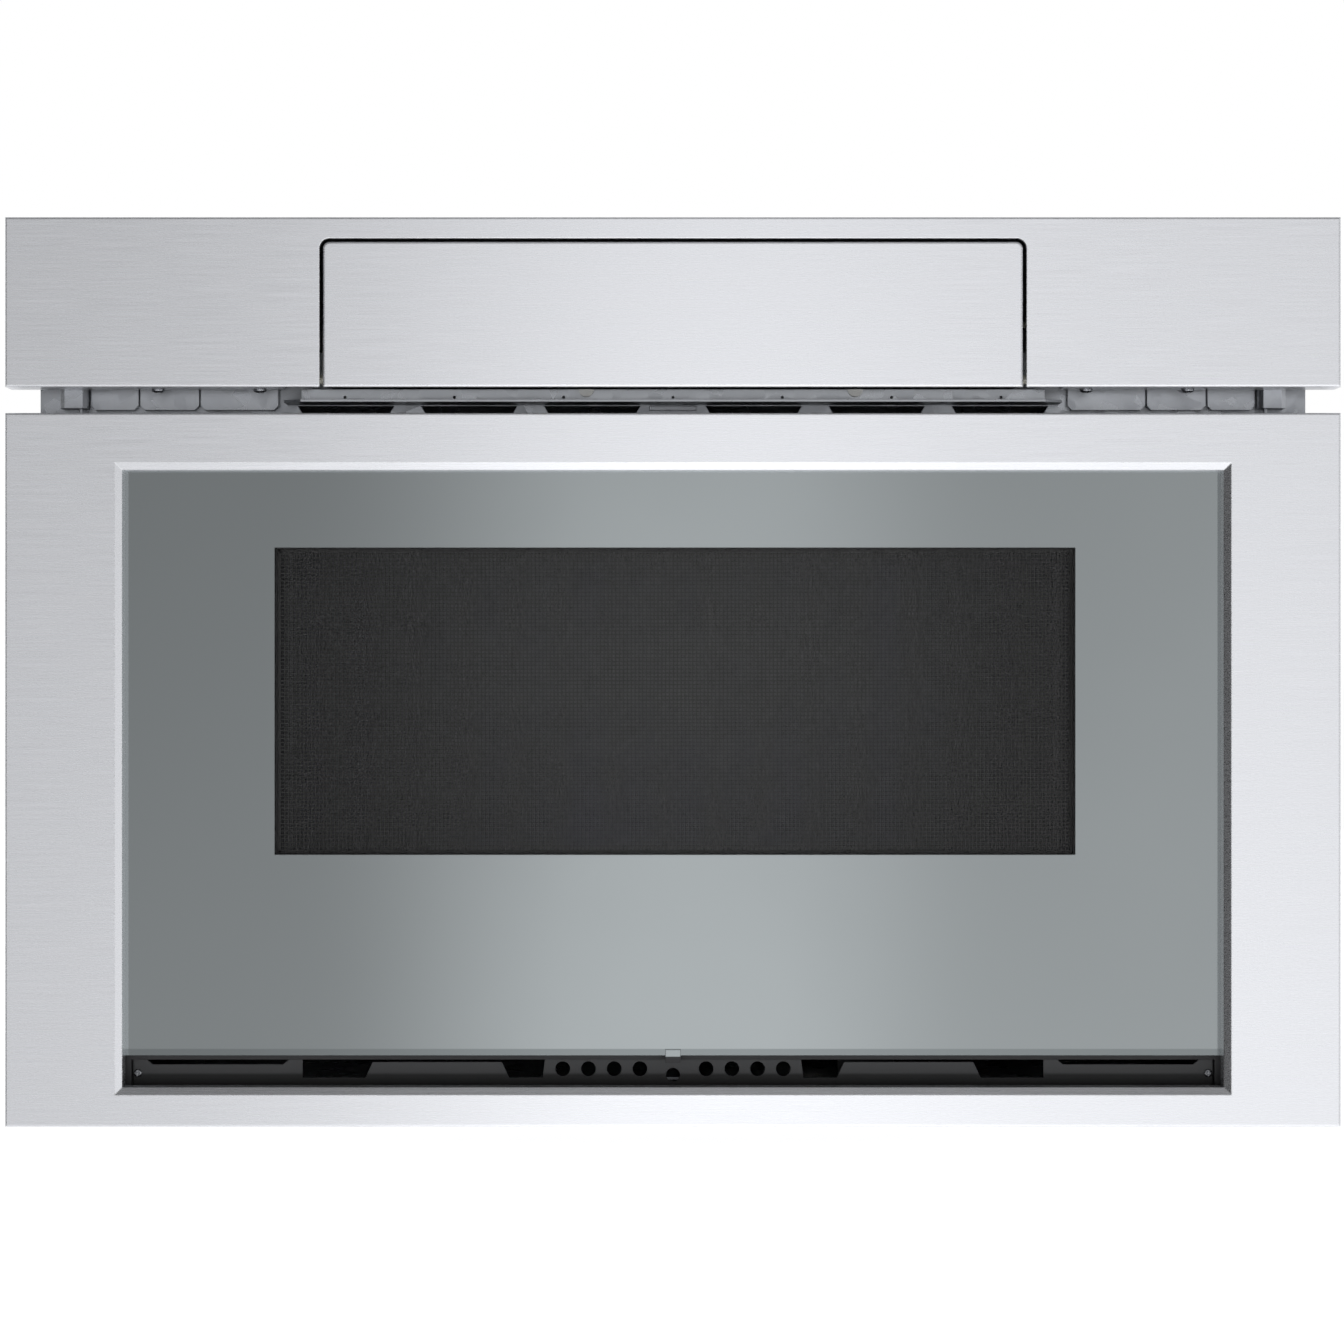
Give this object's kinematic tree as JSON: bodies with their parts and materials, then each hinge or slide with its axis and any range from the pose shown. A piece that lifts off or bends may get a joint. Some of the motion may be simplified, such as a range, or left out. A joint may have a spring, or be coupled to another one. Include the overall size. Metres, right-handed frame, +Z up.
{
  "type": "microwave drawer",
  "caption": "Built-in microwave drawer with a stainless front, glass window, motor-driven sliding tub and a hidden tilting control panel.",
  "frame": {"origin": "on the shelf under the chassis, in the plane of the cabinet's face, at the middle of the width", "axes": "+X to the right seen from the front, +Y to the back, +Z up; the drawer opens towards -Y"},
  "size_m": [0.6064, 0.592, 0.413],
  "materials": {
    "front_stainless": "brushed stainless, fine level grain",
    "front_glass": "coated grey-green mirror glass",
    "control_glass": "black touch glass",
    "inner_glass": "clear glass",
    "screen_black": "black perforated screen",
    "frame_moulding": "black moulded plastic",
    "choke_moulding": "dark grey moulded plastic",
    "buffer_moulding": "light moulded buffer",
    "zinc_steel": "zinc coated sheet steel",
    "rail_steel": "rolled bright zinc rail",
    "gear_moulding": "natural acetal",
    "motor_black": "black motor can",
    "switch_moulding": "black switch body",
    "plunger_red": "red switch button",
    "tub_steel": "satin stainless",
    "tray_ceramic": "pale glass ceramic",
    "board_green": "lacquered board",
    "stirrer_aluminium": "bare aluminium",
    "fan_moulding": "dark moulding",
    "core_steel": "varnished laminations",
    "winding_copper": "enamelled copper wire",
    "lamp_glass": "clear bulb"
  },
  "bodies": {
    "chassis": {"control_fascia": "front_stainless", "fascia_tray": "frame_moulding", "vent_lip_plate": "zinc_steel", "fascia_supports": "zinc_steel", "end_blocks": "zinc_steel", "flap_buffers": "buffer_moulding", "front_frame": "zinc_steel", "base_plate": "zinc_steel", "side_panels": "zinc_steel", "top_cover": "zinc_steel", "rear_panel": "zinc_steel", "rail_brackets": "zinc_steel", "flap_bearings": "zinc_steel", "fixed_rails": "rail_steel", "drive_motor": "motor_black", "flap_motor": "motor_black", "stirrer_motor": "motor_black", "fan_motor": "motor_black", "interlock_switches": "switch_moulding", "oven_cavity": "tub_steel", "filter_board": "board_green", "mains_inlet_gland": "frame_moulding", "stirrer_cover": "tray_ceramic", "waveguide": "zinc_steel", "magnetron_yoke": "zinc_steel", "magnetron_core": "stirrer_aluminium", "fan_housing": "fan_moulding", "transformer_core": "core_steel", "transformer_windings": "winding_copper", "capacitor_and_diode": "stirrer_aluminium", "cavity_lamp": "lamp_glass", "thermal_cutouts": "motor_black", "exhaust_duct": "zinc_steel"},
    "drawer": {"drawer_front_panel": "front_stainless", "front_glass": "front_glass", "window_screen": "screen_black", "door_frame": "frame_moulding", "lower_air_grille": "zinc_steel", "choke_cover": "choke_moulding", "inner_window": "inner_glass", "drawer_tub": "tub_steel", "ceramic_tray": "tray_ceramic", "drawer_rails": "rail_steel", "drawer_carriage": "zinc_steel", "gear_rack": "gear_moulding", "latch_hooks": "gear_moulding"},
    "middle_slides": {"middle_rails": "rail_steel"},
    "drive_pinion": {"drive_pinion": "gear_moulding"},
    "control_flap": {"flap_panel": "front_stainless", "control_glass": "control_glass", "control_housing": "frame_moulding", "control_board": "board_green", "sector_gear": "gear_moulding", "flap_pivot_arm": "gear_moulding"},
    "flap_pinion": {"flap_pinion": "gear_moulding"},
    "cooling_fan": {"cooling_fan": "fan_moulding"},
    "stirrer": {"stirrer": "stirrer_aluminium"},
    "plunger_right": {"switch_plunger_right": "plunger_red"},
    "plunger_left": {"switch_plunger_left": "plunger_red"}
  },
  "joints": [
    {"name": "drawer_slide", "type": "slide", "parent": "chassis", "child": "drawer", "axis": [0, -1, 0], "range_m": [0, 0.381]},
    {"name": "middle_slide", "type": "slide", "parent": "chassis", "child": "middle_slides", "axis": [0, -1, 0], "range_m": [0, 0.1906]},
    {"name": "pinion_turn", "type": "hinge", "parent": "chassis", "child": "drive_pinion", "pos_m": [0.066, 0.044, 0.022], "axis": [1, 0, 0], "range_deg": [0, 1618]},
    {"name": "flap_tilt", "type": "hinge", "parent": "chassis", "child": "control_flap", "pos_m": [0, -0.028, 0.3221], "axis": [1, 0, 0], "range_deg": [0, 45]},
    {"name": "flap_pinion_turn", "type": "hinge", "parent": "chassis", "child": "flap_pinion", "pos_m": [0.158, -0.013, 0.34808], "axis": [1, 0, 0], "range_deg": [-181, 0]},
    {"name": "fan_spin", "type": "hinge", "parent": "chassis", "child": "cooling_fan", "pos_m": [-0.118, 0.4901, 0.19], "axis": [1, 0, 0], "continuous": true},
    {"name": "stirrer_spin", "type": "hinge", "parent": "chassis", "child": "stirrer", "pos_m": [0, 0.2102, 0.29], "axis": [0, 0, 1], "continuous": true},
    {"name": "plunger_right_press", "type": "slide", "parent": "chassis", "child": "plunger_right", "axis": [0, 1, 0], "range_m": [0, 0.002], "stiffness_N_per_m": 400},
    {"name": "plunger_left_press", "type": "slide", "parent": "chassis", "child": "plunger_left", "axis": [0, 1, 0], "range_m": [0, 0.002], "stiffness_N_per_m": 400}
  ],
  "couplings": [
    {"joint": "middle_slide", "follows": "drawer_slide", "ratio": 0.5},
    {"joint": "pinion_turn", "follows": "drawer_slide", "rad_per_m": 74.074},
    {"joint": "flap_pinion_turn", "follows": "flap_tilt", "ratio": -4}
  ]
}
